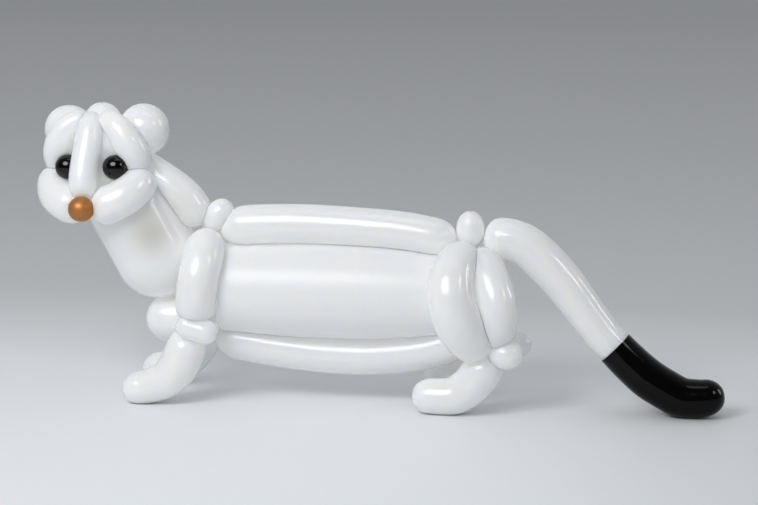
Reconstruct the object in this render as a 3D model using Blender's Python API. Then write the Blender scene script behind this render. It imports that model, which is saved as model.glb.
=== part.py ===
# A twisted-balloon ermine: a white stoat with a black tail tip, standing on four paws.
# Every piece is one bubble, a closed length of balloon between two twists.
# Metres, +Z up. The animal faces -X and its left side faces -Y.

import bpy
import numpy as np
from mathutils.bvhtree import BVHTree

# Balloons
THIN = 0.0243          # radius of the long modelling balloon where it is full
BARREL = 0.0586        # radius of the short fat balloon round the ribs
CHEST = 0.0520         # radius of the fat balloon where it fills the chest
NECK = 0.0018          # radius of the twisted rubber at a bubble's ends
AIR = 0.0008           # room left between two bubbles that press on each other
TRIM_AIR = (0.0005, 0.0014, 0.0030)  # room tried where one bubble is trimmed to its neighbour's faces
SLEEVE_AIR = 0.0004    # room between the tail and the black sleeve over it
SLEEVE_WALL = 0.0008   # the cut piece of black balloon slipped over the tail
SLEEVE_START = 0.2130  # how far along the tail the sleeve begins
TAIL_REST = (0.3130, 0.3270)  # the stretch of the tail that rests on the ground

# Where the +Y legs bend and how far from the middle their paws stand
ELBOW = (-0.2108, 0.0640, 0.0968)
ANKLE = (0.1595, 0.0500, 0.0764)
FORE_STANCE = 0.0500
HIND_STANCE = 0.0440

# The middle of the face, and how far the head turns to the animal's left and leans
FACE = (-0.3423, -0.0380, 0.2852)
HEAD_TURN = np.radians(10.0)
HEAD_LEAN = np.radians(2.5)

# The point on the ground under the middle of the whole figure
ORIGIN = (0.0, 0.0, 0.0)

LATEX = {
    "white_latex": ((0.86, 0.87, 0.88, 1.0), 0.18),
    "black_latex": ((0.012, 0.012, 0.013, 1.0), 0.12),
    "copper_latex": ((0.50, 0.23, 0.07, 1.0), 0.25),
}


def smooth_path(points, count=160):
    """Evenly spaced places on a smooth curve through the points, and its length."""
    ends = (2 * points[0] - points[1], 2 * points[-1] - points[-2])
    knots = np.vstack([ends[0], points, ends[1]])
    fine = []
    for a, b, c, d in zip(knots, knots[1:], knots[2:], knots[3:]):
        for t in np.linspace(0.0, 1.0, 24, endpoint=False):
            bend = 2 * a - 5 * b + 4 * c - d + t * (3 * (b - c) + d - a)
            fine.append(b + 0.5 * t * (c - a + t * bend))
    fine = np.array(fine + [points[-1]])
    steps = np.linalg.norm(np.diff(fine[:, :3], axis=0), axis=1)
    run = np.concatenate([[0.0], np.cumsum(steps)])
    even = np.linspace(0.0, run[-1], count)
    return np.stack([np.interp(even, run, column) for column in fine.T], axis=1), run[-1]


def bow(start, end, rise):
    """Points of a shallow arc from start to end, its middle moved by rise."""
    start, end, rise = (np.asarray(v, float) for v in (start, end, rise))
    return [start + (end - start) * t + rise * 4 * t * (1 - t) for t in np.linspace(0.0, 1.0, 7)]


class Bubble:
    """A closed length of balloon that runs along a path from one twist to the next."""

    def __init__(self, name, path, radius, caps=(1.0, 1.0), blunt=2.0, swell=0.0, sides=12,
                 rings=(4, 3), latex="white_latex", hard=False, floor=None):
        path = np.asarray(path, float)
        radii = np.broadcast_to(radius, len(path)).astype(float)
        self.name = name
        self.path, self.length = smooth_path(np.column_stack([path, radii]))
        self.blunt, self.swell = blunt, swell
        self.sides, self.latex = sides, latex
        self.hard, self.floor = hard, floor
        wanted = [cap * end for cap, end in zip(caps, (radii[0], radii[-1]))]
        fit = min(1.0, self.length / sum(wanted))
        self.caps = [cap * fit for cap in wanted]
        self.stations = self.ring_stations(*rings)

    def ring_stations(self, cap_rings, middle_rings):
        """Distances along the path that get a ring: closer together round the ends."""
        turn = np.linspace(0.0, np.pi / 2, cap_rings + 1)[1:]
        first = self.caps[0] * (1 - np.cos(turn))
        last = self.length - self.caps[1] * (1 - np.cos(turn[::-1]))
        middle = np.linspace(first[-1], last[0], middle_rings + 2)[1:-1]
        return np.unique(np.round(np.concatenate([first, middle, last]), 6))

    def along(self, run):
        """The path's place and full radius at a distance along it."""
        even = np.linspace(0.0, self.length, len(self.path))
        found = np.stack([np.interp(run, even, column) for column in self.path.T], axis=-1)
        return found[..., :3], found[..., 3]

    def radius(self, run):
        """The bubble's radius at a distance along it, rounded off towards each twist."""
        full = self.along(run)[1] * (1 - self.swell * (2 * run / self.length - 1) ** 2)
        room = np.clip(np.minimum(run / self.caps[0], (self.length - run) / self.caps[1]), 0.0, 1.0)
        return NECK + (full - NECK) * (1 - (1 - room) ** self.blunt) ** (1 / self.blunt)

    def balls(self, count=64):
        """The largest balls that fit inside, one at each of some places along the path."""
        run = np.linspace(0.0, self.length, count)
        radius = self.radius(run)
        fit = np.sqrt((run[:, None] - run[None]) ** 2 + radius[None] ** 2).min(axis=1)
        return self.along(run)[0], fit

    def skin_points(self, stations=None, grow=0.0):
        """Points of rings square to the path, then its two ends."""
        stations = self.stations if stations is None else stations
        step = self.length / (len(self.path) - 1)
        spots = self.along(stations)[0]
        ways = self.along(stations + step)[0] - self.along(stations - step)[0]
        ways /= np.linalg.norm(ways, axis=1)[:, None]
        across = np.cross(ways[0], (0.0, 0.0, 1.0))
        if np.linalg.norm(across) < 0.3:
            across = np.cross(ways[0], (1.0, 0.0, 0.0))
        turn = (np.arange(self.sides) + 0.5) * 2 * np.pi / self.sides
        same_area = np.sqrt(2 * np.pi / self.sides / np.sin(2 * np.pi / self.sides))
        points = []
        for spot, way, radius in zip(spots, ways, self.radius(stations)):
            across = across - way * (across @ way)
            across /= np.linalg.norm(across)
            ring = np.outer(np.cos(turn), across) + np.outer(np.sin(turn), np.cross(way, across))
            points.append(spot + (radius + grow) * same_area * ring)
        ends = self.along(np.array([0.0, self.length]))[0]
        return np.vstack(points + [ends])


def press_together(bubble, others, points):
    """Draw a bubble's skin in where its neighbours press on it, each keeping its own side."""
    centres, radii = bubble.balls()
    nearest = (np.linalg.norm(points[:, None] - centres[None], axis=2) - radii[None]).argmin(axis=1)
    centre, radius = centres[nearest], radii[nearest]
    arm = points - centre
    keep = np.ones(len(points))
    for other in others:
        spots, sizes = other.balls()
        gap = spots[None] - centre[:, None]
        apart = np.maximum(np.linalg.norm(gap, axis=2), 1e-6)
        side = (apart ** 2 + radius[:, None] ** 2 - sizes[None] ** 2) / (2 * apart) - AIR / 2
        side = np.maximum(side, 0.12 * radius[:, None])
        reach = np.einsum("ik,ijk->ij", arm, gap) / apart
        meets = (apart < radius[:, None] + sizes[None] + AIR) & (reach > side)
        keep = np.minimum(keep, np.where(meets, side / np.maximum(reach, 1e-9), 1.0).min(axis=1))
    return centre + arm * keep[:, None]


def trunk():
    """The barrel between the legs, with a thin bubble along its back and another under its belly."""
    return [
        Bubble("belly", [(-0.1995, 0.0, 0.0745), (-0.1590, 0.0, 0.0675), (-0.0960, 0.0, 0.0600),
                         (-0.0360, 0.0, 0.0570), (0.0130, 0.0, 0.0595), (0.0610, 0.0, 0.0675),
                         (0.1060, 0.0, 0.0825)], THIN, caps=(1.2, 1.2)),
        Bubble("back", [(-0.1930, 0.0, 0.2045), (-0.1786, 0.0, 0.2085), (-0.1576, 0.0, 0.2130),
                        (-0.0962, 0.0, 0.2157), (-0.0352, 0.0, 0.2142), (0.0254, 0.0, 0.2105),
                        (0.0641, 0.0, 0.2047), (0.0945, 0.0, 0.1992)], THIN, caps=(1.4, 1.3)),
        Bubble("barrel", [(-0.1950, 0.0, 0.1355), (-0.0900, 0.0, 0.1358), (0.0100, 0.0, 0.1368),
                          (0.1130, 0.0, 0.1375)], [0.0535, BARREL, 0.0574, 0.0470],
               caps=(0.42, 0.75), blunt=7.0, sides=16, rings=(3, 2)),
        Bubble("hip_knob", [(0.1100, 0.0, 0.1960), (0.1100, 0.0, 0.2370)], 0.0168, caps=(1.2, 1.2),
               rings=(3, 0), hard=True),
        Bubble("shoulder_knob", [(-0.2097, 0.0, 0.2071), (-0.1833, 0.0, 0.2409)], 0.0164,
               caps=(1.3, 1.3), rings=(3, 0), hard=True),
    ]


def front():
    """The neck, the chest under it and the small breast bubble between the elbows."""
    return [
        Bubble("neck", [(-0.2150, 0.0, 0.2130), (-0.2250, 0.0, 0.2265), (-0.2375, 0.0, 0.2435),
                        (-0.2570, 0.0010, 0.2585), (-0.2898, 0.0040, 0.2780),
                        (-0.3068, 0.0060, 0.2865)], 0.0228, rings=(3, 2)),
        Bubble("chest", bow((-0.3245, 0.0, 0.2680), (-0.2475, 0.0, 0.1272), (0.0, 0.0, 0.0)), CHEST,
               caps=(0.8, 1.0), sides=16, rings=(4, 0)),
        Bubble("breast", [(-0.2870, 0.0, 0.0950), (-0.2180, 0.0, 0.0950)], 0.0292, rings=(4, 1)),
    ]


def foreleg(side, word):
    def beside(*places):
        return [np.array(place) * (1.0, side, 1.0) for place in places]

    elbow = beside(ELBOW)[0]
    return [
        Bubble(f"upper_foreleg_{word}",
               beside((-0.2050, 0.0080, 0.1990), (-0.2055, 0.0300, 0.1910), (-0.2062, 0.0480, 0.1770),
                      (-0.2085, 0.0580, 0.1600), (-0.2108, 0.0600, 0.1420), (-0.2130, 0.0560, 0.1240),
                      (-0.2140, 0.0500, 0.1000)), THIN, caps=(1.5, 1.0), rings=(3, 2)),
        Bubble(f"elbow_{word}", [elbow + (-0.0243, 0.0, 0.0066), elbow, elbow + (0.0243, 0.0, -0.0066)],
               [0.0152, 0.0150, 0.0156], caps=(1.1, 1.1), blunt=2.2, rings=(3, 1), hard=True),
        Bubble(f"forepaw_{word}",
               beside((-0.2175, FORE_STANCE, 0.0900), (-0.2240, FORE_STANCE, 0.0760),
                      (-0.2300, FORE_STANCE, 0.0620), (-0.2385, FORE_STANCE, 0.0440),
                      (-0.2540, FORE_STANCE, 0.0287), (-0.2812, FORE_STANCE, 0.0186),
                      (-0.3055, FORE_STANCE, 0.0184)),
               [THIN, THIN, THIN, 0.0240, 0.0225, 0.0202, 0.0198], floor=0.0),
    ]


def hind_leg(side, word, bulge, drop):
    """The thigh's two bubbles bow forward and back, the back one by bulge, to an ankle lowered by drop."""
    def beside(*places):
        return [np.array(place) * (1.0, side, 1.0) for place in places]

    ankle = beside(ANKLE)[0] - (0.0, 0.0, drop)
    return [
        Bubble(f"thigh_front_{word}",
               beside((0.1120, 0.0100, 0.1840), (0.1010, 0.0360, 0.1800), (0.0950, 0.0590, 0.1665),
                      (0.0960, 0.0700, 0.1440), (0.1045, 0.0680, 0.1190), (0.1170, 0.0570, 0.0970),
                      (0.1370, 0.0420, 0.0800)),
               [0.0250, 0.0260, 0.0268, 0.0280, 0.0292, 0.0280, 0.0262]),
        Bubble(f"thigh_back_{word}",
               bow(beside((0.1180, 0.0100, 0.1880))[0], beside((0.1400, 0.0370, 0.0880 - drop))[0],
                   (bulge, 0.0285 * side, 0.0)), 0.0245, rings=(4, 2)),
        Bubble(f"ankle_{word}", [ankle - (0.0202, 0.0, 0.0), ankle + (0.0202, 0.0, 0.0)], 0.0180,
               caps=(1.15, 1.15), rings=(3, 0), hard=True),
        Bubble(f"hindpaw_{word}",
               beside((0.1395, HIND_STANCE, 0.0760 - drop), (0.1350, HIND_STANCE, 0.0610 - drop / 2),
                      (0.1235, HIND_STANCE, 0.0430),
                      (0.1120, HIND_STANCE, 0.0310), (0.0955, HIND_STANCE, 0.0216),
                      (0.0690, HIND_STANCE, 0.0206), (0.0475, HIND_STANCE, 0.0242)),
               [THIN, THIN, THIN, 0.0235, 0.0225, 0.0213, 0.0210], floor=0.0),
    ]


def face_point(forward, left, up):
    """A place given from the middle of the face, in the head's own directions."""
    ahead = np.array([-np.sin(HEAD_TURN), -np.cos(HEAD_TURN), 0.0])
    level = np.array([np.cos(HEAD_TURN), -np.sin(HEAD_TURN), 0.0])
    rise = np.array([0.0, 0.0, 1.0])
    side = level * np.cos(HEAD_LEAN) + rise * np.sin(HEAD_LEAN)
    top = rise * np.cos(HEAD_LEAN) - level * np.sin(HEAD_LEAN)
    return np.array(FACE) + forward * ahead + left * side + up * top


def head():
    """Bubbles round the face: forward, left and up are measured from between the eyes."""
    def on_head(*places):
        return [face_point(*place) for place in places]

    made = [
        Bubble("nose_bridge", on_head((-0.0230, -0.0026, 0.0560), (-0.0130, -0.0020, 0.0510),
                                      (-0.0040, -0.0016, 0.0390), (0.0040, -0.0021, 0.0220),
                                      (0.0120, -0.0035, 0.0030), (0.0190, -0.0038, -0.0160),
                                      (0.0225, -0.0012, -0.0370)),
               [0.0150, 0.0160, 0.0167, 0.0172, 0.0174, 0.0170, 0.0160], caps=(1.0, 1.15), rings=(3, 2)),
        Bubble("crown", on_head((-0.0380, 0.0, 0.0725), (-0.0370, 0.0, 0.0480), (-0.0260, 0.0, 0.0200),
                                (-0.0250, 0.0, -0.0390)),
               [0.0225, 0.0240, 0.0300, 0.0270], rings=(3, 1)),
        Bubble("nose", on_head((0.0360, 0.0150, -0.0450), (0.0360, -0.0150, -0.0450)), 0.0150,
               latex="copper_latex", rings=(4, 0), hard=True),
    ]
    for side, word, ear in ((1, "left", 0.0315), (-1, "right", 0.0292)):
        made += [
            Bubble(f"forehead_{word}",
                   on_head((-0.0170, 0.0080 * side, 0.0580), (-0.0140, 0.0165 * side, 0.0550),
                           (-0.0120, 0.0268 * side, 0.0504), (-0.0105, 0.0358 * side, 0.0420),
                           (-0.0110, 0.0434 * side, 0.0287), (-0.0150, 0.0484 * side, 0.0149),
                           (-0.0220, 0.0492 * side, 0.0010), (-0.0370, 0.0520 * side, -0.0140)),
                   [0.0090, 0.0122, 0.0147, 0.0168, 0.0193, 0.0202, 0.0198, 0.0185], rings=(3, 4)),
            Bubble(f"cheek_{word}",
                   on_head((0.0150, 0.0040 * side, -0.0460), (0.0140, 0.0220 * side, -0.0442),
                           (0.0060, 0.0430 * side, -0.0345), (-0.0100, 0.0535 * side, -0.0230),
                           (-0.0290, 0.0565 * side, -0.0150)), 0.0230, rings=(3, 1)),
            Bubble(f"ear_{word}",
                   on_head((-0.0360, 0.0215 * side, 0.0372), (-0.0590, 0.0775 * side, 0.0402)), ear,
                   sides=14, rings=(4, 0)),
            Bubble(f"eye_{word}",
                   on_head((0.0, 0.0464 * side, 0.0), (0.0, 0.0162 * side, 0.0)), 0.0151,
                   latex="black_latex", rings=(4, 0), hard=True),
        ]
    return made


def tail():
    """A long bubble that arches down from the hip and turns up at its end."""
    path = [(0.1265, 0.0, 0.2081), (0.1456, 0.0, 0.2062), (0.1620, 0.0, 0.2039),
            (0.1795, -0.0010, 0.1963), (0.2008, -0.0025, 0.1779), (0.2241, -0.0040, 0.1532),
            (0.2448, -0.0055, 0.1269), (0.2692, -0.0072, 0.0959), (0.2861, -0.0085, 0.0788),
            (0.3043, -0.0100, 0.0613), (0.3249, -0.0118, 0.0442), (0.3447, -0.0128, 0.0324),
            (0.3643, -0.0134, 0.0230), (0.3843, -0.0137, 0.0224), (0.3995, -0.0138, 0.0252),
            (0.4141, -0.0138, 0.0282)]
    radii = [0.0245, 0.0246, 0.0248, 0.0250, 0.0252, 0.0245, 0.0232, 0.0220, 0.0217, 0.0224, 0.0231, 0.0231,
             0.0230, 0.0220, 0.0202, 0.0190]
    made = Bubble("tail", path, radii, caps=(0.85, 1.0), rings=(4, 7), floor=SLEEVE_WALL + SLEEVE_AIR)
    named = np.array([SLEEVE_START, *TAIL_REST])
    clear = abs(made.stations[:, None] - named).min(axis=1) > 0.0120
    made.stations = np.sort(np.append(made.stations[clear], named))
    return made


def wall_faces(rings, sides):
    """Triangles that join each ring of points to the next."""
    faces = []
    for start in range(0, (rings - 1) * sides, sides):
        for k in range(sides):
            a, b = start + k, start + (k + 1) % sides
            faces += [(a, b, b + sides), (a, b + sides, a + sides)]
    return faces


def tube_faces(rings, sides):
    """Faces of a closed tube of rings that ends in two points."""
    faces = wall_faces(rings, sides)
    first, last = rings * sides, rings * sides + 1
    for k in range(sides):
        a, b = k, (k + 1) % sides
        faces.append((first, b, a))
        faces.append((last, a + (rings - 1) * sides, b + (rings - 1) * sides))
    return faces


def sleeve_shape(bubble):
    """Points and faces of the black cup round the tail's last part, open where it was cut."""
    sides, before = bubble.sides, int((bubble.stations < SLEEVE_START).sum())
    count = len(bubble.stations) - before
    end = bubble.along(bubble.length)[0]
    past = end - bubble.along(bubble.length - 0.002)[0]
    past /= np.linalg.norm(past)
    walls = []
    for grow, floor in ((SLEEVE_AIR, SLEEVE_WALL), (SLEEVE_AIR + SLEEVE_WALL, 0.0)):
        wall = bubble.skin_points(bubble.stations, grow)[before * sides:(before + count) * sides]
        wall[-sides:] += past * grow
        wall = np.vstack([wall, end + past * grow])
        wall[:, 2] = np.maximum(wall[:, 2], floor)
        walls.append(wall)
    inner, outer = 0, len(walls[0])
    faces = []
    for base, flip in ((inner, True), (outer, False)):
        tip = base + count * sides
        for face in wall_faces(count, sides):
            face = tuple(base + corner for corner in face)
            faces.append(face[::-1] if flip else face)
        for k in range(sides):
            a, b = tip - sides + k, tip - sides + (k + 1) % sides
            faces.append((tip, b, a) if flip else (tip, a, b))
    for k in range(sides):
        a, b = k, (k + 1) % sides
        faces.append((inner + a, inner + b, outer + b, outer + a))
    return np.vstack(walls), faces


def all_bubbles():
    bubbles = trunk() + front() + head() + [tail()]
    for side, word, bulge, drop in ((-1, "left", 0.0185, 0.0), (1, "right", 0.0060, 0.0110)):
        bubbles += foreleg(side, word) + hind_leg(side, word, bulge, drop)
    return bubbles


def pressed_points(bubble, bubbles):
    """The bubble's skin once its neighbours and the ground have shaped it."""
    points = bubble.skin_points()
    if not bubble.hard:
        points = press_together(bubble, [b for b in bubbles if b is not bubble and not b.hard], points)
    if bubble.floor is not None:
        points[:, 2] = np.maximum(points[:, 2], bubble.floor)
    return points


def make_materials():
    made = {}
    for name, (colour, roughness) in LATEX.items():
        material = bpy.data.materials.new(name)
        material.use_nodes = True
        shader = material.node_tree.nodes["Principled BSDF"]
        shader.inputs["Base Color"].default_value = colour
        shader.inputs["Roughness"].default_value = roughness
        shader.inputs["Metallic"].default_value = 0.0
        made[name] = material
    return made


def add_object(name, points, faces, material):
    mesh = bpy.data.meshes.new(name)
    mesh.from_pydata((points - np.array(ORIGIN)).tolist(), [], faces)
    mesh.shade_smooth()
    mesh.materials.append(material)
    thing = bpy.data.objects.new(name, mesh)
    bpy.context.scene.collection.objects.link(thing)
    return thing


def meet(one, other):
    """Whether two objects' faces cross, tested only where their boxes meet."""
    low, high = (np.array([np.array(thing.bound_box)[corner] for thing in (one, other)]) for corner in (0, 6))
    if (low.max(axis=0) > high.min(axis=0)).any():
        return False
    trees = [BVHTree.FromPolygons([v.co for v in thing.data.vertices],
                                  [tuple(face.vertices) for face in thing.data.polygons])
             for thing in (one, other)]
    return bool(trees[0].overlap(trees[1]))


def trim(thing, neighbour, air):
    """Cut a bubble back to a hair's breadth from its neighbour's faces."""
    cutter = neighbour.copy()
    cutter.data = neighbour.data.copy()
    bpy.context.scene.collection.objects.link(cutter)
    for vertex, normal in zip(cutter.data.vertices, [n.vector.copy() for n in cutter.data.vertex_normals]):
        vertex.co += normal * air
    change = thing.modifiers.new("contact", "BOOLEAN")
    change.operation = "DIFFERENCE"
    change.solver = "MANIFOLD"
    change.object = cutter
    bpy.context.view_layer.update()
    shaped = thing.evaluated_get(bpy.context.evaluated_depsgraph_get())
    shaped = bpy.data.meshes.new_from_object(shaped)
    thing.modifiers.clear()
    thing.data = shaped
    bpy.data.objects.remove(cutter, do_unlink=True)


def main():
    for thing in list(bpy.data.objects):
        bpy.data.objects.remove(thing, do_unlink=True)
    materials = make_materials()
    bubbles = all_bubbles()
    things = []
    for bubble in bubbles:
        things.append(add_object(bubble.name, pressed_points(bubble, bubbles),
                                 tube_faces(len(bubble.stations), bubble.sides), materials[bubble.latex]))
        if bubble.name == "tail":
            add_object("tail_sleeve", *sleeve_shape(bubble), materials["black_latex"])
    bpy.context.view_layer.update()
    for i, (bubble, thing) in enumerate(zip(bubbles, things)):
        for other, neighbour in zip(bubbles[i + 1:], things[i + 1:]):
            soft, firm = (neighbour, thing) if bubble.hard and not other.hard else (thing, neighbour)
            for air in TRIM_AIR:
                if meet(thing, neighbour):
                    trim(soft, firm, air)


main()
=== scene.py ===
import math

import bpy
import numpy as np
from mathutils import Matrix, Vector


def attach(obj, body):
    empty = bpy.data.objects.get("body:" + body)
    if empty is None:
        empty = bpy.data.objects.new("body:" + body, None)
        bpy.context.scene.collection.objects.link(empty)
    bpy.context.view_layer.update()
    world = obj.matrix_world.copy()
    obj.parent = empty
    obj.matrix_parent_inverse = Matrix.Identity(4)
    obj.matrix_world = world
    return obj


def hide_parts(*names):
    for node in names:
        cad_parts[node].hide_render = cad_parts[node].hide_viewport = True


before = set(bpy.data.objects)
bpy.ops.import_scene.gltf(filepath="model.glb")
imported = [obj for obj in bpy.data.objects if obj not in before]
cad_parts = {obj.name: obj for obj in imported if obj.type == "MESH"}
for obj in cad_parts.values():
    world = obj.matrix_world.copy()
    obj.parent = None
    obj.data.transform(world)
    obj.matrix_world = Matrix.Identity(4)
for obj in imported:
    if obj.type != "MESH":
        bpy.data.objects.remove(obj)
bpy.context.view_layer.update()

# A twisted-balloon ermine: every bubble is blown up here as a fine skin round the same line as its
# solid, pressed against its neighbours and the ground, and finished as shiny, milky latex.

balloon = {
    "thin": 0.0243,          # radius of the long modelling balloon where it is full
    "barrel": 0.0586,        # radius of the short fat balloon round the ribs
    "chest": 0.0520,         # radius of the fat balloon at the chest
    "neck": 0.0018,          # radius of the twisted rubber at a bubble's ends
    "sides": 72,             # points round a thin balloon
    "fatSides": 112,         # and round a fat one
    "ringSpacing": 0.0024,
    "capRings": 20,          # rings on each closed end
    "leastRing": 0.00004,    # rings closer than this are left out
    "places": 400,           # places along a bubble's smooth line
    "curveSteps": 48,        # steps between two points that the line is drawn through
    "bowPoints": 7,          # points that a bowed line is drawn through
}
bubbles = []


def smoothPath(points):
    # Evenly spaced places on a smooth curve through the points, and its length.
    ends = (2 * points[0] - points[1], 2 * points[-1] - points[-2])
    knots = np.vstack([ends[0], points, ends[1]])
    fine = []
    for a, b, c, d in zip(knots, knots[1:], knots[2:], knots[3:]):
        for t in np.linspace(0.0, 1.0, balloon["curveSteps"], endpoint=False):
            bend = 2 * a - 5 * b + 4 * c - d + t * (3 * (b - c) + d - a)
            fine.append(b + 0.5 * t * (c - a + t * bend))
    fine = np.array(fine + [points[-1]])
    steps = np.linalg.norm(np.diff(fine[:, :3], axis=0), axis=1)
    run = np.concatenate([[0.0], np.cumsum(steps)])
    even = np.linspace(0.0, run[-1], balloon["places"])
    return np.stack([np.interp(even, run, column) for column in fine.T], axis=1), run[-1]


class Bubble:
    def __init__(self, node, path, radius, caps=(1.0, 1.0), blunt=2.0, latex="white_latex",
                 hard=False, floor=None, sides=balloon["sides"]):
        path = np.asarray(path, float)
        radii = np.broadcast_to(radius, len(path)).astype(float)
        self.node, self.latex, self.hard, self.floor = node, latex, hard, floor
        self.blunt, self.sides = blunt, sides
        self.path, self.length = smoothPath(np.column_stack([path, radii]))
        wanted = [cap * end for cap, end in zip(caps, (radii[0], radii[-1]))]
        fit = min(1.0, self.length / sum(wanted))
        self.caps = [cap * fit for cap in wanted]
        bubbles.append(self)

    def along(self, run):
        even = np.linspace(0.0, self.length, len(self.path))
        found = np.stack([np.interp(run, even, column) for column in self.path.T], axis=-1)
        return found[..., :3], found[..., 3]

    def radius(self, run):
        full = self.along(run)[1]
        room = np.clip(np.minimum(run / self.caps[0], (self.length - run) / self.caps[1]), 0.0, 1.0)
        neck = balloon["neck"]
        return neck + (full - neck) * (1 - (1 - room) ** self.blunt) ** (1 / self.blunt)

    def stations(self):
        # Rings stand closer and closer together towards the two ends.
        turn = np.linspace(0.0, np.pi / 2, balloon["capRings"])
        first = self.caps[0] * (1 - np.cos(turn))
        last = self.length - self.caps[1] * (1 - np.cos(turn[::-1]))
        gap = last[0] - first[-1]
        middle = np.linspace(first[-1], last[0], max(2, int(gap / balloon["ringSpacing"])))[1:-1]
        found = np.unique(np.round(np.concatenate([first, middle, last]), 6))
        return found[np.concatenate([[True], np.diff(found) > balloon["leastRing"]])]

    def balls(self, count):
        # The largest balls that fit inside the bubble at places along its line.
        run = np.linspace(0.0, self.length, count)
        radius = self.radius(run)
        fit = np.sqrt((run[:, None] - run[None]) ** 2 + radius[None] ** 2).min(axis=1)
        return self.along(run)[0], fit


def bow(start, end, rise):
    # A line from start to end that bows out by rise in its middle.
    start, end, rise = (np.asarray(v, float) for v in (start, end, rise))
    steps = np.linspace(0.0, 1.0, balloon["bowPoints"])
    return [start + (end - start) * t + rise * 4 * t * (1 - t) for t in steps]


trunkShapes = {
    "belly": {"path": [(-0.1995, 0.0, 0.0745), (-0.1590, 0.0, 0.0675), (-0.0960, 0.0, 0.0600),
                       (-0.0360, 0.0, 0.0570), (0.0130, 0.0, 0.0595), (0.0610, 0.0, 0.0675),
                       (0.1060, 0.0, 0.0825)],
              "radius": balloon["thin"], "caps": (1.2, 1.2)},
    "back": {"path": [(-0.1930, 0.0, 0.2045), (-0.1786, 0.0, 0.2085), (-0.1576, 0.0, 0.2130),
                      (-0.0962, 0.0, 0.2157), (-0.0352, 0.0, 0.2142), (0.0254, 0.0, 0.2105),
                      (0.0641, 0.0, 0.2047), (0.0945, 0.0, 0.1992)],
             "radius": balloon["thin"], "caps": (1.4, 1.3)},
    "barrel": {"path": [(-0.1950, 0.0, 0.1355), (-0.0900, 0.0, 0.1358), (0.0100, 0.0, 0.1368),
                        (0.1130, 0.0, 0.1375)],
               "radius": [0.0535, balloon["barrel"], 0.0574, 0.0470],
               "caps": (0.42, 0.75), "blunt": 7.0, "sides": balloon["fatSides"]},
    "hip_knob": {"path": [(0.1100, 0.0, 0.1960), (0.1100, 0.0, 0.2370)],
                 "radius": 0.0168, "caps": (1.2, 1.2), "hard": True},
    "shoulder_knob": {"path": [(-0.2097, 0.0, 0.2071), (-0.1833, 0.0, 0.2409)],
                      "radius": 0.0164, "caps": (1.3, 1.3), "hard": True},
}
frontShapes = {
    "neck": {"path": [(-0.2150, 0.0, 0.2130), (-0.2250, 0.0, 0.2265), (-0.2375, 0.0, 0.2435),
                      (-0.2570, 0.0010, 0.2585), (-0.2898, 0.0040, 0.2780),
                      (-0.3068, 0.0060, 0.2865)],
             "radius": 0.0228},
    "chest": {"path": bow((-0.3245, 0.0, 0.2680), (-0.2475, 0.0, 0.1272), (0.0, 0.0, 0.0)),
              "radius": balloon["chest"], "caps": (0.8, 1.0), "sides": balloon["fatSides"]},
    "breast": {"path": [(-0.2870, 0.0, 0.0950), (-0.2180, 0.0, 0.0950)], "radius": 0.0292},
}


def body():
    for node, shape in {**trunkShapes, **frontShapes}.items():
        Bubble(node, **shape)


def beside(side, *places):
    # Places given for the far side, or mirrored to the near one.
    return [np.array(place) * (1.0, side, 1.0) for place in places]


forelegLine = {
    "upper": [(-0.2050, 0.0080, 0.1990), (-0.2055, 0.0300, 0.1910), (-0.2062, 0.0480, 0.1770),
              (-0.2085, 0.0580, 0.1600), (-0.2108, 0.0600, 0.1420), (-0.2130, 0.0560, 0.1240),
              (-0.2140, 0.0500, 0.1000)],
    "elbow": (-0.2108, 0.0640, 0.0968),
    "elbowReach": (0.0243, 0.0, -0.0066),
    "elbowRadii": [0.0152, 0.0150, 0.0156],
    "stance": 0.0500,        # how far from the middle the paw stands
    "paw": [(-0.2175, 0.0900), (-0.2240, 0.0760), (-0.2300, 0.0620), (-0.2385, 0.0440),
            (-0.2540, 0.0287), (-0.2812, 0.0186), (-0.3055, 0.0184)],
    "pawRadii": [0.0243, 0.0243, 0.0243, 0.0240, 0.0225, 0.0202, 0.0198],
}


def foreleg(side, word):
    line = forelegLine
    elbow, reach = beside(side, line["elbow"])[0], np.array(line["elbowReach"])
    Bubble(f"upper_foreleg_{word}", beside(side, *line["upper"]), balloon["thin"], caps=(1.5, 1.0))
    Bubble(f"elbow_{word}", [elbow - reach, elbow, elbow + reach], line["elbowRadii"],
           caps=(1.1, 1.1), blunt=2.2, hard=True)
    Bubble(f"forepaw_{word}", beside(side, *[(x, line["stance"], z) for x, z in line["paw"]]),
           line["pawRadii"], floor=0.0)


hindLegLine = {
    "thighFront": [(0.1120, 0.0100, 0.1840), (0.1010, 0.0360, 0.1800), (0.0950, 0.0590, 0.1665),
                   (0.0960, 0.0700, 0.1440), (0.1045, 0.0680, 0.1190), (0.1170, 0.0570, 0.0970),
                   (0.1370, 0.0420, 0.0800)],
    "thighFrontRadii": [0.0250, 0.0260, 0.0268, 0.0280, 0.0292, 0.0280, 0.0262],
    "thighBack": ((0.1180, 0.0100, 0.1880), (0.1400, 0.0370, 0.0880)),
    "thighBackOut": 0.0285,  # how far it bows out sideways
    "thighBackRadius": 0.0245,
    "ankle": (0.1595, 0.0500, 0.0764),
    "ankleReach": (0.0202, 0.0, 0.0),
    "ankleRadius": 0.0180,
    "stance": 0.0440,
    # along, up, and how much of the leg's drop the place follows
    "paw": [(0.1395, 0.0760, 1.0), (0.1350, 0.0610, 0.5), (0.1235, 0.0430, 0.0),
            (0.1120, 0.0310, 0.0), (0.0955, 0.0216, 0.0), (0.0690, 0.0206, 0.0),
            (0.0475, 0.0242, 0.0)],
    "pawRadii": [0.0243, 0.0243, 0.0243, 0.0235, 0.0225, 0.0213, 0.0210],
    # each leg's side, how far its back bubble bows to the tail, and how much lower its ankle is
    "legs": ((-1, "left", 0.0185, 0.0), (1, "right", 0.0060, 0.0110)),
}


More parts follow.
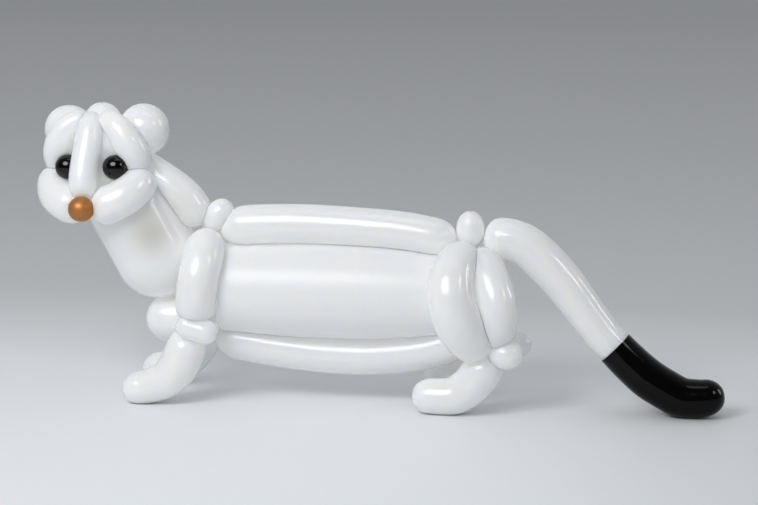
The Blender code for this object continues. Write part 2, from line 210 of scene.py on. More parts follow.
def hindLeg(side, word, bulge, drop):
    line, lower = hindLegLine, np.array((0.0, 0.0, drop))
    start, end = line["thighBack"]
    ankle = beside(side, line["ankle"])[0] - lower
    Bubble(f"thigh_front_{word}", beside(side, *line["thighFront"]), line["thighFrontRadii"])
    Bubble(f"thigh_back_{word}",
           bow(beside(side, start)[0], beside(side, end)[0] - lower,
               (bulge, line["thighBackOut"] * side, 0.0)), line["thighBackRadius"])
    Bubble(f"ankle_{word}", [ankle - line["ankleReach"], ankle + line["ankleReach"]],
           line["ankleRadius"], caps=(1.15, 1.15), hard=True)
    Bubble(f"hindpaw_{word}",
           beside(side, *[(x, line["stance"], z - drop * share) for x, z, share in line["paw"]]),
           line["pawRadii"], floor=0.0)


# Places on the head are forward, to the animal's left, and up from the middle of the face.
headPlace = {
    "middle": (-0.3423, -0.0380, 0.2852),
    "turn": math.radians(10.0),
    "lean": math.radians(2.5),
}
headShapes = {
    "nose_bridge": {"path": [(-0.0230, -0.0026, 0.0560), (-0.0130, -0.0020, 0.0510),
                             (-0.0040, -0.0016, 0.0390), (0.0040, -0.0021, 0.0220),
                             (0.0120, -0.0035, 0.0030), (0.0190, -0.0038, -0.0160),
                             (0.0225, -0.0012, -0.0370)],
                    "radius": [0.0150, 0.0160, 0.0167, 0.0172, 0.0174, 0.0170, 0.0160],
                    "caps": (1.0, 1.15)},
    "crown": {"path": [(-0.0380, 0.0, 0.0725), (-0.0370, 0.0, 0.0480), (-0.0260, 0.0, 0.0200),
                       (-0.0250, 0.0, -0.0390)],
              "radius": [0.0225, 0.0240, 0.0300, 0.0270]},
    "nose": {"path": [(0.0360, 0.0150, -0.0450), (0.0360, -0.0150, -0.0450)], "radius": 0.0150,
             "latex": "copper_latex", "hard": True},
}
headPairs = {
    "forehead": {"path": [(-0.0170, 0.0080, 0.0580), (-0.0140, 0.0165, 0.0550),
                          (-0.0120, 0.0268, 0.0504), (-0.0105, 0.0358, 0.0420),
                          (-0.0110, 0.0434, 0.0287), (-0.0150, 0.0484, 0.0149),
                          (-0.0220, 0.0492, 0.0010), (-0.0370, 0.0520, -0.0140)],
                 "radius": [0.0090, 0.0122, 0.0147, 0.0168, 0.0193, 0.0202, 0.0198, 0.0185]},
    "cheek": {"path": [(0.0150, 0.0040, -0.0460), (0.0140, 0.0220, -0.0442),
                       (0.0060, 0.0430, -0.0345), (-0.0100, 0.0535, -0.0230),
                       (-0.0290, 0.0565, -0.0150)], "radius": 0.0230},
    "ear": {"path": [(-0.0360, 0.0215, 0.0372), (-0.0590, 0.0775, 0.0402)]},
    "eye": {"path": [(0.0, 0.0464, 0.0), (0.0, 0.0162, 0.0)], "radius": 0.0151,
            "latex": "black_latex", "hard": True},
}
earRadius = {"left": 0.0315, "right": 0.0292}


def onHead(places):
    turn, lean = headPlace["turn"], headPlace["lean"]
    ahead = np.array([-math.sin(turn), -math.cos(turn), 0.0])
    level = np.array([math.cos(turn), -math.sin(turn), 0.0])
    rise = np.array([0.0, 0.0, 1.0])
    left = level * math.cos(lean) + rise * math.sin(lean)
    up = rise * math.cos(lean) - level * math.sin(lean)
    return [np.array(headPlace["middle"]) + a * ahead + b * left + c * up for a, b, c in places]


def head():
    for node, shape in headShapes.items():
        Bubble(node, **{**shape, "path": onHead(shape["path"])})
    for side, word in ((1, "left"), (-1, "right")):
        for name, shape in headPairs.items():
            path = onHead([(a, b * side, c) for a, b, c in shape["path"]])
            radius = shape.get("radius", earRadius[word])
            Bubble(f"{name}_{word}", **{**shape, "path": path, "radius": radius})


tailLine = {
    "path": [(0.1265, 0.0, 0.2081), (0.1456, 0.0, 0.2062), (0.1620, 0.0, 0.2039),
             (0.1795, -0.0010, 0.1963), (0.2008, -0.0025, 0.1779), (0.2241, -0.0040, 0.1532),
             (0.2448, -0.0055, 0.1269), (0.2692, -0.0072, 0.0959), (0.2861, -0.0085, 0.0788),
             (0.3043, -0.0100, 0.0613), (0.3249, -0.0118, 0.0442), (0.3447, -0.0128, 0.0324),
             (0.3643, -0.0134, 0.0230), (0.3843, -0.0137, 0.0224), (0.3995, -0.0138, 0.0252),
             (0.4141, -0.0138, 0.0282)],
    "radii": [0.0245, 0.0246, 0.0248, 0.0250, 0.0252, 0.0245, 0.0232, 0.0220, 0.0217, 0.0224,
              0.0231, 0.0231, 0.0230, 0.0220, 0.0202, 0.0190],
    "caps": (0.85, 1.0),
    "sleeveStart": 0.2130,   # how far along the tail the black sleeve begins
    "sleeveAir": 0.0004,
    "sleeveWall": 0.0008,
    "sleeveEdge": 0.0008,    # the least distance from its cut edge to the next ring
    "sleeveSharp": math.radians(50),
}


def tail():
    wall = tailLine["sleeveWall"] + tailLine["sleeveAir"]
    Bubble("tail", tailLine["path"], tailLine["radii"], caps=tailLine["caps"], floor=wall)


pressing = {
    "air": 0.0001,           # room asked for between two skins that press on each other
    "crease": 0.0013,        # how softly a skin turns where it leaves its neighbour
    "sole": 0.0006,          # how softly it turns where it leaves the ground
    "hardPush": 1.12,        # how much further than its own size a hard bubble pushes a soft one
    "ownBalls": 400,         # balls along a bubble's line that its own skin is measured from
    "balls": 150,            # balls that stand for it when a neighbour presses on it
    "reach": 1.4,            # how far from its middle, in radii, a bubble looks for a neighbour
    "margin": 0.003,
    "leastWall": 0.12,       # the nearest that a wall comes to the middle of a ball, in radii
    "mostDrawn": 0.88,       # the most of its way to the middle that a point is drawn in
    "untouched": -0.02,      # a skin further than this from every wall keeps its shape
    "least": 1e-6,           # stands for a length of nothing
    "atOnce": 4000,          # points that are worked on together
}


def softStep(x, soft):
    # Zero well below zero, x well above it, and a smooth turn between the two.
    return 0.5 * (x + np.sqrt(x * x + soft * soft))


def batches(points):
    return [slice(start, start + pressing["atOnce"])
            for start in range(0, len(points), pressing["atOnce"])]


def press(bubble, points):
    # Every point is drawn in towards the middle of the ball inside it that it belongs to, as far as
    # the flat wall that this ball would share with each ball of a neighbour. The walls don't part
    # every pair: some finished skins still lie up to 11 mm inside a neighbour.
    centres, radii = bubble.balls(pressing["ownBalls"])
    nearest = np.empty(len(points), int)
    for piece in batches(points):
        away = np.linalg.norm(points[piece, None] - centres[None], axis=2)
        nearest[piece] = (away - radii[None]).argmin(axis=1)
    centre, radius = centres[nearest], radii[nearest]
    arm = points - centre
    armLength = np.maximum(np.linalg.norm(arm, axis=1), pressing["least"])
    over = np.full(len(points), -1.0)
    for other in bubbles:
        if other is bubble or bubble.hard:
            continue
        spots, sizes = other.balls(pressing["balls"])
        if other.hard and other.latex == "white_latex":
            sizes = sizes * pressing["hardPush"]
        apart = np.linalg.norm(spots[None] - centres[:, None], axis=2)
        most = pressing["reach"] * radii[:, None] + sizes[None] + pressing["margin"]
        reachable = (apart < most).any(axis=0)
        spots, sizes = spots[reachable], sizes[reachable]
        if not len(spots):
            continue
        for piece in batches(points):
            gap = spots[None] - centre[piece, None]
            apart = np.maximum(np.linalg.norm(gap, axis=2), pressing["least"])
            own = np.maximum(radius[piece], armLength[piece])[:, None]
            side = (apart ** 2 + own ** 2 - sizes[None] ** 2) / (2 * apart)
            side = np.maximum(side - pressing["air"] / 2, pressing["leastWall"] * own)
            reach = np.einsum("ik,ijk->ij", arm[piece], gap) / apart
            ahead = np.maximum(reach, 10 * pressing["least"])
            near = (apart < own + sizes[None] + pressing["margin"]) & (reach == ahead)
            past = np.where(near, armLength[piece, None] * (1 - side / ahead), -1.0)
            over[piece] = np.maximum(over[piece], past.max(axis=1))
    drawn = np.where(over > pressing["untouched"], softStep(over, pressing["crease"]), 0.0)
    made = centre + arm * (1 - np.minimum(drawn / armLength, pressing["mostDrawn"]))[:, None]
    if bubble.floor is not None:
        made[:, 2] = bubble.floor + softStep(made[:, 2] - bubble.floor, pressing["sole"])
    return made, radius, over


# Painted light: the folds between bubbles get an emitted glow that lifts their shade, measured from how
# closely the neighbouring bubbles close them in.
paintedFoldLight = {
    "balls": 37,             # balls that stand for a bubble that shelters its neighbours
    "reach": 4,              # how far, in its own radii, such a ball gives shelter
    "wrap": 0.35,            # how much a ball beside or behind the skin counts
    "pressed": 0.0004,       # the glow fades where a skin lies this deep in its neighbour
    "fade": 0.0030,          # and is gone this much deeper
}


def shelterOf(bubble, mesh):
    # How much of what a point faces is taken up by other bubbles, from 0 in the open to 1 in a fold; it
    # sets where the painted glow lifts the shade.
    points = meshPoints(mesh)
    flat = np.empty(len(mesh.vertices) * 3, np.float32)
    mesh.vertex_normals.foreach_get("vector", flat)
    facing = flat.reshape(-1, 3).astype(float)
    low, high = points.min(axis=0), points.max(axis=0)
    opened = np.ones(len(points))
    for other in bubbles:
        if other is bubble:
            continue
        spots, sizes = other.balls(paintedFoldLight["balls"])
        away = np.linalg.norm(np.maximum(np.maximum(low - spots, spots - high), 0.0), axis=1)
        close = away < paintedFoldLight["reach"] * sizes
        if not close.any():
            continue
        spots, sizes = spots[close], sizes[close]
        for piece in batches(points):
            gap = spots[None] - points[piece, None]
            apart = np.maximum(np.linalg.norm(gap, axis=2), sizes[None])
            rise = np.einsum("ik,ijk->ij", facing[piece], gap) / apart
            seen = np.clip((rise + paintedFoldLight["wrap"]) / (1 + paintedFoldLight["wrap"]), 0.0, 1.0)
            opened[piece] *= 1 - ((sizes[None] / apart) ** 2 * seen).max(axis=1)
    return 1 - opened


# Painted shade: grey-olive darkening where the head shades the chest and the top of the neck: bubble,
# place, reach and strength.
paintedShadePlaces = (
    ("chest", (-0.2720, -0.0420, 0.2080), 0.0270, 0.75),
    ("neck", (-0.2480, -0.0250, 0.2260), 0.0260, 0.55),
)


def paintedShadeOf(bubble, points):
    made = np.zeros(len(points))
    for node, place, reach, strength in paintedShadePlaces:
        if node == bubble.node:
            apart = np.linalg.norm(points - np.array(place), axis=1)
            made = np.maximum(made, strength * np.exp(-(apart / reach) ** 2))
    return made


def mathNode(tree, operation, first, second=None):
    node = tree.nodes.new("ShaderNodeMath")
    node.operation = operation
    for place, value in enumerate((first, second)):
        if isinstance(value, (int, float)):
            node.inputs[place].default_value = value
        elif value is not None:
            tree.links.new(value, node.inputs[place])
    return node.outputs[0]


twist = {"pleats": 11.0, "depth": 0.00025, "reach": 0.0040}   # the gathers at a bubble's two ends


def socketIn(tree, name, kind, value=None):
    made = tree.interface.new_socket(name, in_out="INPUT", socket_type=kind)
    if value is not None:
        made.default_value = value


def skinTree():
    # Sweeps a ring along a guide line whose radius swells and closes, and gathers it at both twists.
    tree = bpy.data.node_groups.new("balloonSkin", "GeometryNodeTree")
    socketIn(tree, "Guide", "NodeSocketGeometry")
    socketIn(tree, "Sides", "NodeSocketInt", balloon["sides"])
    socketIn(tree, "Pleats", "NodeSocketFloat", twist["pleats"])
    socketIn(tree, "Pleat Depth", "NodeSocketFloat", twist["depth"])
    socketIn(tree, "Pleat Reach", "NodeSocketFloat", twist["reach"])
    socketIn(tree, "Latex", "NodeSocketMaterial")
    tree.interface.new_socket("Skin", in_out="OUTPUT", socket_type="NodeSocketGeometry")
    nodes, links = tree.nodes, tree.links

    def add(kind, **settings):
        node = nodes.new(kind)
        for key, value in settings.items():
            setattr(node, key, value)
        return node

    given = add("NodeGroupInput").outputs
    ring = add("GeometryNodeCurvePrimitiveCircle")
    ring.inputs["Radius"].default_value = 1.0
    links.new(given["Sides"], ring.inputs["Resolution"])
    around = add("GeometryNodeStoreNamedAttribute", data_type="FLOAT", domain="POINT")
    around.inputs["Name"].default_value = "around"
    ringPlace = add("GeometryNodeSplineParameter")
    links.new(ring.outputs["Curve"], around.inputs["Geometry"])
    links.new(ringPlace.outputs["Factor"], around.inputs["Value"])

    length = add("GeometryNodeSplineLength")
    place = add("GeometryNodeSplineParameter")
    left = mathNode(tree, "SUBTRACT", length.outputs["Length"], place.outputs["Length"])
    toEnd = mathNode(tree, "MINIMUM", place.outputs["Length"], left)
    fromTwist = add("GeometryNodeStoreNamedAttribute", data_type="FLOAT", domain="POINT")
    fromTwist.inputs["Name"].default_value = "fromTwist"
    links.new(given["Guide"], fromTwist.inputs["Geometry"])
    links.new(toEnd, fromTwist.inputs["Value"])

    sweep = add("GeometryNodeCurveToMesh")
    sweep.inputs["Fill Caps"].default_value = True
    links.new(fromTwist.outputs["Geometry"], sweep.inputs["Curve"])
    links.new(around.outputs["Geometry"], sweep.inputs["Profile Curve"])
    width = add("GeometryNodeInputRadius")
    links.new(width.outputs["Radius"], sweep.inputs["Scale"])

    readAround = add("GeometryNodeInputNamedAttribute", data_type="FLOAT")
    readAround.inputs["Name"].default_value = "around"
    readTwist = add("GeometryNodeInputNamedAttribute", data_type="FLOAT")
    readTwist.inputs["Name"].default_value = "fromTwist"
    fade = add("ShaderNodeMapRange", interpolation_type="SMOOTHSTEP")
    links.new(readTwist.outputs["Attribute"], fade.inputs["Value"])
    links.new(given["Pleat Reach"], fade.inputs["From Max"])
    fade.inputs["To Min"].default_value = 1.0
    fade.inputs["To Max"].default_value = 0.0
    turns = mathNode(tree, "MULTIPLY", readAround.outputs["Attribute"], given["Pleats"])
    wave = mathNode(tree, "COSINE", mathNode(tree, "MULTIPLY", turns, 2 * math.pi))
    faded = mathNode(tree, "MULTIPLY", wave, fade.outputs["Result"])
    depth = mathNode(tree, "MULTIPLY", faded, given["Pleat Depth"])
    normal = add("GeometryNodeInputNormal")
    offset = add("ShaderNodeVectorMath", operation="SCALE")
    links.new(normal.outputs["Normal"], offset.inputs[0])
    links.new(depth, offset.inputs["Scale"])
    gather = add("GeometryNodeSetPosition")
    links.new(sweep.outputs["Mesh"], gather.inputs["Geometry"])
    links.new(offset.outputs["Vector"], gather.inputs["Offset"])

    real = add("GeometryNodeRealizeInstances")
    links.new(gather.outputs["Geometry"], real.inputs["Geometry"])
    paint = add("GeometryNodeSetMaterial")
    links.new(real.outputs["Geometry"], paint.inputs["Geometry"])
    links.new(given["Latex"], paint.inputs["Material"])
    links.new(paint.outputs["Geometry"], add("NodeGroupOutput").inputs["Skin"])
    return tree


def setInput(modifier, name, value):
    for item in modifier.node_group.interface.items_tree:
        if item.item_type == "SOCKET" and item.in_out == "INPUT" and item.name == name:
            modifier[item.identifier] = value


def guideLine(name, places, radii):
    line = bpy.data.curves.new(name, "CURVE")
    line.dimensions = "3D"
    spline = line.splines.new("POLY")
    spline.points.add(len(places) - 1)
    for point, place, radius in zip(spline.points, places, radii):
        point.co = (*place, 1.0)
        point.radius = radius
    thing = bpy.data.objects.new(name, line)
    bpy.context.scene.collection.objects.link(thing)
    return thing


def grownMesh(name, thing):
    # The mesh that the nodes make, as a plain object of its own.
    bpy.context.view_layer.update()
    shaped = thing.evaluated_get(bpy.context.evaluated_depsgraph_get())
    mesh = bpy.data.meshes.new_from_object(shaped)
    bpy.data.objects.remove(thing, do_unlink=True)
    mesh.name = name
    made = bpy.data.objects.new(name, mesh)
    bpy.context.scene.collection.objects.link(made)
    return made


def meshPoints(mesh):
    flat = np.empty(len(mesh.vertices) * 3, np.float32)
    mesh.vertices.foreach_get("co", flat)
    return flat.reshape(-1, 3).astype(float)


def setPoints(mesh, points):
    mesh.vertices.foreach_set("co", points.astype(np.float32).ravel())
    mesh.update()


def camelName(node):
    first, *rest = node.split("_")
    return first + "".join(word.capitalize() for word in rest)


def addValue(mesh, name, values):
    made = mesh.attributes.new(name, "FLOAT", "POINT")
    made.data.foreach_set("value", values.astype(np.float32))


ownLatex = {"barrel": "fatWhite", "eye_left": "eyeBlack", "eye_right": "eyeBlack"}


def blowUp(bubble, tree, latex):
    stations = bubble.stations()
    line = guideLine(bubble.node + "Line", bubble.along(stations)[0], bubble.radius(stations))
    skin = line.modifiers.new("skin", "NODES")
    skin.node_group = tree
    setInput(skin, "Sides", bubble.sides)
    setInput(skin, "Latex", latex[ownLatex.get(bubble.node, bubble.latex)])
    piece = grownMesh(camelName(bubble.node), line)
    points, ballSize, over = press(bubble, meshPoints(piece.data))
    setPoints(piece.data, points)
    # Painted glow: the fold mask, faded where the skin lies deep in a neighbour.
    apart = 1 - np.clip((over - paintedFoldLight["pressed"]) / paintedFoldLight["fade"], 0.0, 1.0)
    addValue(piece.data, "stretch", ballSize / bubble.path[:, 3].max())
    addValue(piece.data, "shelter", shelterOf(bubble, piece.data) * apart)
    # Painted shade below the head, on the chest and the neck.
    addValue(piece.data, "sheer", paintedShadeOf(bubble, points))
    piece.data.shade_smooth()
    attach(piece, "root")
    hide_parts(bubble.node)


def shaderOf(material):
    material.use_nodes = True
    return material.node_tree.nodes["Principled BSDF"]


whiteLatex = {
    "full": (0.876, 0.882, 0.889, 1.0),    # where the rubber is stretched thin
    "slack": (0.915, 0.915, 0.902, 1.0),   # where it is thick, near a twist
    "slackAt": 0.35,                       # and how far it is blown up there
    "thin": {"roughness": 0.13, "gloss": 0.38},   # the tight thin balloons
    "fat": {"roughness": 0.27, "gloss": 0.22},    # the barrel
    "sheer": (0.60, 0.585, 0.535, 1.0),    # painted shade below the head, on the chest and the neck
    "glow": (0.118, 0.118, 0.113, 1.0),    # painted glow: emitted light that lifts the shade in a deep fold, in place of light that comes through the skins
    "paintedGlowFrom": 0.20,                      # how deep the fold is where it starts
    "scatter": 1.0,
    "scatterReach": 0.020,
    "scatterTint": (1.0, 0.9, 0.75),
}
blackLatex = {
    "colour": (0.002, 0.0018, 0.002, 1.0),
    "roughness": 0.11,
    "sleeveGloss": 0.14,
    "eyeGloss": 0.36,        # the eyes are blown tight, so they shine more
}
copperLatex = {"colour": (0.43, 0.170, 0.040, 1.0), "roughness": 0.46, "metal": 0.40}
rubber = {
    "grain": 2600.0,         # powdery specks, per metre
    "grainDetail": 2.0,
    "ripple": 70.0,          # soft unevenness of the blown wall, per metre
    "rippleDetail": 3.0,
    "roughSpread": 0.05,     # how far the specks change the roughness
    "rippleDepth": 0.00025,  # metres
    "index": 1.5,            # how strongly the rubber bends light
}


def rubberTree():
    # The fine unevenness of blown rubber: powdery specks in its gloss and a soft ripple in its wall.
    tree = bpy.data.node_groups.new("blownRubber", "ShaderNodeTree")
    for name in ("Roughness", "Grain", "Ripple"):
        socketIn(tree, name, "NodeSocketFloat")
    for name in ("Roughness", "Height"):
        tree.interface.new_socket(name, in_out="OUTPUT", socket_type="NodeSocketFloat")
    nodes, links = tree.nodes, tree.links
    given, made = nodes.new("NodeGroupInput"), nodes.new("NodeGroupOutput")
    place = nodes.new("ShaderNodeTexCoord")
    for name, scale, detail in (("speck", "Grain", "grainDetail"), ("ripple", "Ripple", "rippleDetail")):
        noise = nodes.new("ShaderNodeTexNoise")
        noise.name = name
        noise.inputs["Detail"].default_value = rubber[detail]
        links.new(place.outputs["Object"], noise.inputs["Vector"])
        links.new(given.outputs[scale], noise.inputs["Scale"])
    spread = nodes.new("ShaderNodeMapRange")
    spread.inputs["To Min"].default_value = -rubber["roughSpread"]
    spread.inputs["To Max"].default_value = rubber["roughSpread"]
    links.new(nodes["speck"].outputs["Fac"], spread.inputs["Value"])
    total = mathNode(tree, "ADD", spread.outputs["Result"], given.outputs["Roughness"])
    links.new(total, made.inputs["Roughness"])
    links.new(nodes["ripple"].outputs["Fac"], made.inputs["Height"])
    return tree


def addRubber(material, shader, tree, roughness):
    nodes, links = material.node_tree.nodes, material.node_tree.links
    skin = nodes.new("ShaderNodeGroup")
    skin.node_tree = tree
    skin.inputs["Roughness"].default_value = roughness
    skin.inputs["Grain"].default_value = rubber["grain"]
    skin.inputs["Ripple"].default_value = rubber["ripple"]
    bump = nodes.new("ShaderNodeBump")
    bump.inputs["Distance"].default_value = rubber["rippleDepth"]
    links.new(skin.outputs["Roughness"], shader.inputs["Roughness"])
    links.new(skin.outputs["Height"], bump.inputs["Height"])
    links.new(bump.outputs["Normal"], shader.inputs["Normal"])


def valueRamp(material, name, stops):
    # The piece's own value of that name, turned into a colour.
    nodes, links = material.node_tree.nodes, material.node_tree.links
    value = nodes.new("ShaderNodeAttribute")
    value.attribute_name = name
    ramp = nodes.new("ShaderNodeValToRGB")
    for element, (position, colour) in zip(ramp.color_ramp.elements, stops):
        element.position = position
        element.color = colour
    links.new(value.outputs["Fac"], ramp.inputs["Fac"])
    return ramp.outputs["Color"]


def makeWhite(name, tree, kind):
    material = bpy.data.materials.new(name)
    shader = shaderOf(material)
    addRubber(material, shader, tree, whiteLatex[kind]["roughness"])
    nodes, links = material.node_tree.nodes, material.node_tree.links
    blown = valueRamp(material, "stretch",
                      ((whiteLatex["slackAt"], whiteLatex["slack"]), (1.0, whiteLatex["full"])))
    # Painted shade: the white is mixed towards grey-olive below the head.
    sheer = nodes.new("ShaderNodeAttribute")
    sheer.attribute_name = "sheer"
    tint = nodes.new("ShaderNodeMix")
    tint.data_type = "RGBA"
    tint.inputs["B"].default_value = whiteLatex["sheer"]
    links.new(sheer.outputs["Fac"], tint.inputs["Factor"])
    links.new(blown, tint.inputs["A"])
    links.new(tint.outputs["Result"], shader.inputs["Base Color"])
    # Painted glow: emission that lifts the shade in the folds.
    glow = valueRamp(material, "shelter",
                     ((whiteLatex["paintedGlowFrom"], (0.0, 0.0, 0.0, 1.0)), (1.0, whiteLatex["glow"])))
    links.new(glow, shader.inputs["Emission Color"])
    shader.inputs["Emission Strength"].default_value = 1.0
    shader.inputs["IOR"].default_value = rubber["index"]
    shader.inputs["Specular IOR Level"].default_value = whiteLatex[kind]["gloss"]
    shader.inputs["Subsurface Weight"].default_value = whiteLatex["scatter"]
    shader.inputs["Subsurface Radius"].default_value = whiteLatex["scatterTint"]
    shader.inputs["Subsurface Scale"].default_value = whiteLatex["scatterReach"]
    return material


def makeBlack(name, tree, gloss):
    material = bpy.data.materials.new(name)
    shader = shaderOf(material)
    addRubber(material, shader, tree, blackLatex["roughness"])
    shader.inputs["Base Color"].default_value = blackLatex["colour"]
    shader.inputs["IOR"].default_value = rubber["index"]
    shader.inputs["Specular IOR Level"].default_value = gloss
    return material


def makeCopper(name, tree):
    material = bpy.data.materials.new(name)
    shader = shaderOf(material)
    addRubber(material, shader, tree, copperLatex["roughness"])
    shader.inputs["Base Color"].default_value = copperLatex["colour"]
    shader.inputs["Metallic"].default_value = copperLatex["metal"]
    return material


def sleeve(latex):
    # The cut piece of black balloon over the tail's last part: outer wall, inner wall and a cut rim.
    bubble = next(b for b in bubbles if b.node == "tail")
    air, wall, start = tailLine["sleeveAir"], tailLine["sleeveWall"], tailLine["sleeveStart"]
    sides = bubble.sides
    stations = bubble.stations()
    stations = np.concatenate([[start], stations[stations > start + tailLine["sleeveEdge"]]])
    spots = bubble.along(stations)[0]
    step = bubble.length / balloon["places"]
    ways = bubble.along(np.minimum(stations + step, bubble.length))[0] - bubble.along(stations - step)[0]
    ways /= np.linalg.norm(ways, axis=1)[:, None]
    turn = np.arange(sides) * 2 * np.pi / sides
    across = np.cross(ways[0], (0.0, 0.0, 1.0))
    rings = []
    radii = bubble.radius(stations)
    lean = np.arctan(-np.gradient(radii, stations))
    for spot, way, radius, tilt in zip(spots, ways, radii, lean):
        across = across - way * (across @ way)
        across /= np.linalg.norm(across)
        rim = np.outer(np.cos(turn), across) + np.outer(np.sin(turn), np.cross(way, across))
        rings.append((spot, radius, rim, way, tilt))
    past = ways[-1]
    points, faces = [], []
    for grow, floor in ((air, wall), (air + wall, 0.0)):
        shell = [spot + way * grow * math.sin(tilt) + (radius + grow * math.cos(tilt)) * rim
                 for spot, radius, rim, way, tilt in rings]
        shell = np.vstack(shell + [spots[-1] + past * grow])
        shell[:, 2] = floor + softStep(shell[:, 2] - floor, pressing["sole"])
        points.append(shell)
    count, size = len(rings), len(points[0])
    for base, flip in ((0, True), (size, False)):
        for row in range(count - 1):
            for k in range(sides):
                a, b = base + row * sides + k, base + row * sides + (k + 1) % sides
                face = (a, b, b + sides, a + sides)
                faces.append(face[::-1] if flip else face)
        for k in range(sides):
            a, b = base + (count - 1) * sides + k, base + (count - 1) * sides + (k + 1) % sides
            tip = base + size - 1
            faces.append((tip, b, a) if flip else (tip, a, b))
    for k in range(sides):
        a, b = k, (k + 1) % sides
        faces.append((a, b, size + b, size + a))
    mesh = bpy.data.meshes.new("tailSleeve")
    mesh.from_pydata(np.vstack(points).tolist(), [], faces)
    mesh.materials.append(latex["black_latex"])
    mesh.shade_smooth()
    mesh.set_sharp_from_angle(angle=tailLine["sleeveSharp"])
    piece = bpy.data.objects.new("tailSleeve", mesh)
    bpy.context.scene.collection.objects.link(piece)
    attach(piece, "root")
    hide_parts("tail_sleeve")


studio = {
    "cameraTurn": math.radians(9.0),
    "cameraRise": math.radians(11.5),
    "cameraDistance": 3.03,
    "lens": 120.0,
    "target": (0.0, 0.0, 0.184),
    "level": 0.37,           # how bright the white room is straight ahead and overhead
    "overhead": 0.62,
    "shineFront": 0.05,      # the same as gloss reflects it, in front and behind
    "shineBehind": 0.65,
    "shineFrom": -0.4,       # where it starts to rise, and where it is full, along Y
    "shineTo": 0.9,
    "roomTint": (0.95, 0.97, 1.0, 1.0),
    "lights": (
        # name, turn from the camera, rise, distance, width, height, how bright, seen only in the gloss
        ("keySoftbox", -37.0, 39.0, 2.1, 1.05, 0.90, 7.6, False),
        ("keyShine", -31.0, 38.0, 5.0, 3.7, 2.9, 9.0, True),
        ("fillShine", 58.0, 33.0, 5.0, 1.1, 1.4, 8.0, True),
        ("sideShine", 98.0, 20.0, 5.0, 1.3, 2.0, 6.0, True),
        ("topShine", 20.0, 84.0, 5.0, 2.4, 1.2, 2.0, True),
    ),
    "floorRadius": 14.0,
    "floorCorners": 64,
    "floorDrop": 0.0002,     # keeps the floor just clear of the soles
    "floorTint": (0.985, 1.0, 1.02),
    "floorRoughness": 0.55,
    "floorGloss": 0.2,
    "sideFade": 0.25,        # how much slower the painted falloff darkens the floor to the sides and the front
    "tailFade": 0.55,        # and how fast a painted shadow darkens it past the tail
    # how far back, and how pale the floor is painted there: a painted falloff of the lamps' light
    "floorShades": ((-0.4, 1.0), (-0.05, 0.98), (0.26, 0.79), (0.56, 0.64), (0.92, 0.625),
                    (1.9, 0.557), (4.5, 0.415)),
}


def spotFrom(turn, rise, distance):
    back = Vector((math.sin(turn) * math.cos(rise), -math.cos(turn) * math.cos(rise), math.sin(rise)))
    return Vector(studio["target"]) + back * distance


def makeCamera():
    lens = bpy.data.cameras.new("camera")
    lens.lens = studio["lens"]
    lens.sensor_width = 36.0
    lens.clip_end = 100.0
    camera = bpy.data.objects.new("camera", lens)
    bpy.context.scene.collection.objects.link(camera)
    camera.location = spotFrom(studio["cameraTurn"], studio["cameraRise"], studio["cameraDistance"])
    look = Vector(studio["target"]) - camera.location
    camera.rotation_euler = look.to_track_quat("-Z", "Y").to_euler()
    bpy.context.scene.camera = camera


def makeLights():
    for name, turn, rise, distance, width, height, bright, onlyShine in studio["lights"]:
        light = bpy.data.lights.new(name, "AREA")
        light.shape = "ELLIPSE"
        light.size = width
        light.size_y = height
        light.energy = bright * math.pi * (math.pi * width * height / 4)
        lamp = bpy.data.objects.new(name, light)
        bpy.context.scene.collection.objects.link(lamp)
        lamp.location = spotFrom(studio["cameraTurn"] + math.radians(turn), math.radians(rise), distance)
        look = Vector(studio["target"]) - lamp.location
        lamp.rotation_euler = look.to_track_quat("-Z", "Y").to_euler()
        lamp.visible_glossy = onlyShine
        lamp.visible_diffuse = not onlyShine
        lamp.visible_transmission = not onlyShine


def makeRoom():
    # The room lights every side evenly, but looks darker in reflections, as it is behind the lamps.
    world = bpy.data.worlds.new("studio")
    world.use_nodes = True
    nodes, links = world.node_tree.nodes, world.node_tree.links
    background = nodes["Background"]
    background.inputs["Color"].default_value = studio["roomTint"]
    place = nodes.new("ShaderNodeTexCoord")
    axes = nodes.new("ShaderNodeSeparateXYZ")
    links.new(place.outputs["Generated"], axes.inputs[0])
    shine = nodes.new("ShaderNodeMapRange")
    shine.inputs["From Min"].default_value = studio["shineFrom"]
    shine.inputs["From Max"].default_value = studio["shineTo"]
    shine.inputs["To Min"].default_value = studio["shineFront"]
    shine.inputs["To Max"].default_value = studio["shineBehind"]
    links.new(axes.outputs["Y"], shine.inputs["Value"])
    ray = nodes.new("ShaderNodeLightPath")
    pick = nodes.new("ShaderNodeMix")
    fade = nodes.new("ShaderNodeMapRange")
    fade.inputs["To Min"].default_value = studio["level"]
    fade.inputs["To Max"].default_value = studio["overhead"]
    links.new(axes.outputs["Z"], fade.inputs["Value"])
    links.new(fade.outputs["Result"], pick.inputs["A"])
    links.new(ray.outputs["Is Glossy Ray"], pick.inputs["Factor"])
    links.new(shine.outputs["Result"], pick.inputs["B"])
    links.new(pick.outputs["Result"], background.inputs["Strength"])
    bpy.context.scene.world = world


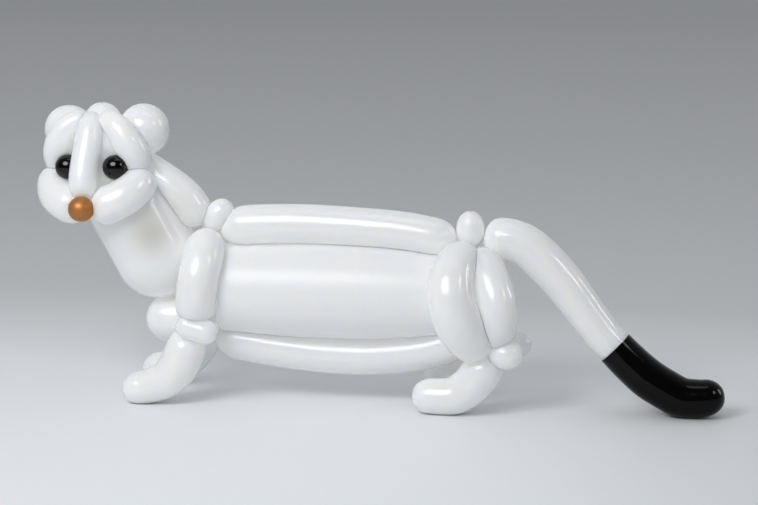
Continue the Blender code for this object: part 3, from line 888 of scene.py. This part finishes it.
def makeFloor():
    mesh = bpy.data.meshes.new("floor")
    radius, count = studio["floorRadius"], studio["floorCorners"]
    turns = np.linspace(0.0, 2 * np.pi, count, endpoint=False)
    corners = [(math.cos(t) * radius, math.sin(t) * radius, 0.0) for t in turns]
    mesh.from_pydata(corners, [], [tuple(range(count))])
    material = bpy.data.materials.new("paleSweep")
    shader = shaderOf(material)
    tree = material.node_tree
    nodes, links = tree.nodes, tree.links
    # Painted falloff of light: the floor's colour darkens to the back, more slowly to the sides and the
    # front, and a painted shadow darkens it past the tail.
    place = nodes.new("ShaderNodeTexCoord")
    axes = nodes.new("ShaderNodeSeparateXYZ")
    apart = nodes.new("ShaderNodeVectorMath")
    apart.operation = "LENGTH"
    links.new(place.outputs["Object"], axes.inputs[0])
    links.new(place.outputs["Object"], apart.inputs[0])
    around = mathNode(tree, "MULTIPLY", apart.outputs["Value"], studio["sideFade"])
    # Painted shadow past the tail.
    past = mathNode(tree, "MULTIPLY", axes.outputs["X"], studio["tailFade"])
    behind = mathNode(tree, "MAXIMUM", axes.outputs["Y"], around)
    furthest = mathNode(tree, "MAXIMUM", behind, past)
    low, high = studio["floorShades"][0][0], studio["floorShades"][-1][0]
    shade = nodes.new("ShaderNodeMapRange")
    shade.inputs["From Min"].default_value = low
    shade.inputs["From Max"].default_value = high
    ramp = nodes.new("ShaderNodeValToRGB")
    links.new(furthest, shade.inputs["Value"])
    links.new(shade.outputs["Result"], ramp.inputs["Fac"])
    stops = ramp.color_ramp.elements
    while len(stops) < len(studio["floorShades"]):
        stops.new(0.5)
    for stop, (distance, bright) in zip(stops, studio["floorShades"]):
        stop.position = (distance - low) / (high - low)
        stop.color = (*(bright * tint for tint in studio["floorTint"]), 1.0)
    links.new(ramp.outputs["Color"], shader.inputs["Base Color"])
    shader.inputs["Roughness"].default_value = studio["floorRoughness"]
    shader.inputs["Specular IOR Level"].default_value = studio["floorGloss"]
    mesh.materials.append(material)
    floor = bpy.data.objects.new("floor", mesh)
    bpy.context.scene.collection.objects.link(floor)
    floor.location = (0.0, 0.0, -studio["floorDrop"])


print("camera, lights and floor")
makeCamera()
makeLights()
makeRoom()
makeFloor()
bpy.context.scene.view_settings.view_transform = "Standard"

print("balloon lines")
body()
head()
tail()
for leg in hindLegLine["legs"]:
    foreleg(*leg[:2])
    hindLeg(*leg)

print("latex")
rubberSkin = rubberTree()
latex = {
    "white_latex": makeWhite("whiteLatex", rubberSkin, "thin"),
    "fatWhite": makeWhite("fatWhiteLatex", rubberSkin, "fat"),
    "black_latex": makeBlack("blackLatex", rubberSkin, blackLatex["sleeveGloss"]),
    "eyeBlack": makeBlack("eyeLatex", rubberSkin, blackLatex["eyeGloss"]),
    "copper_latex": makeCopper("copperLatex", rubberSkin),
}

print("bubbles")
tree = skinTree()
for bubble in bubbles:
    blowUp(bubble, tree, latex)
sleeve(latex)
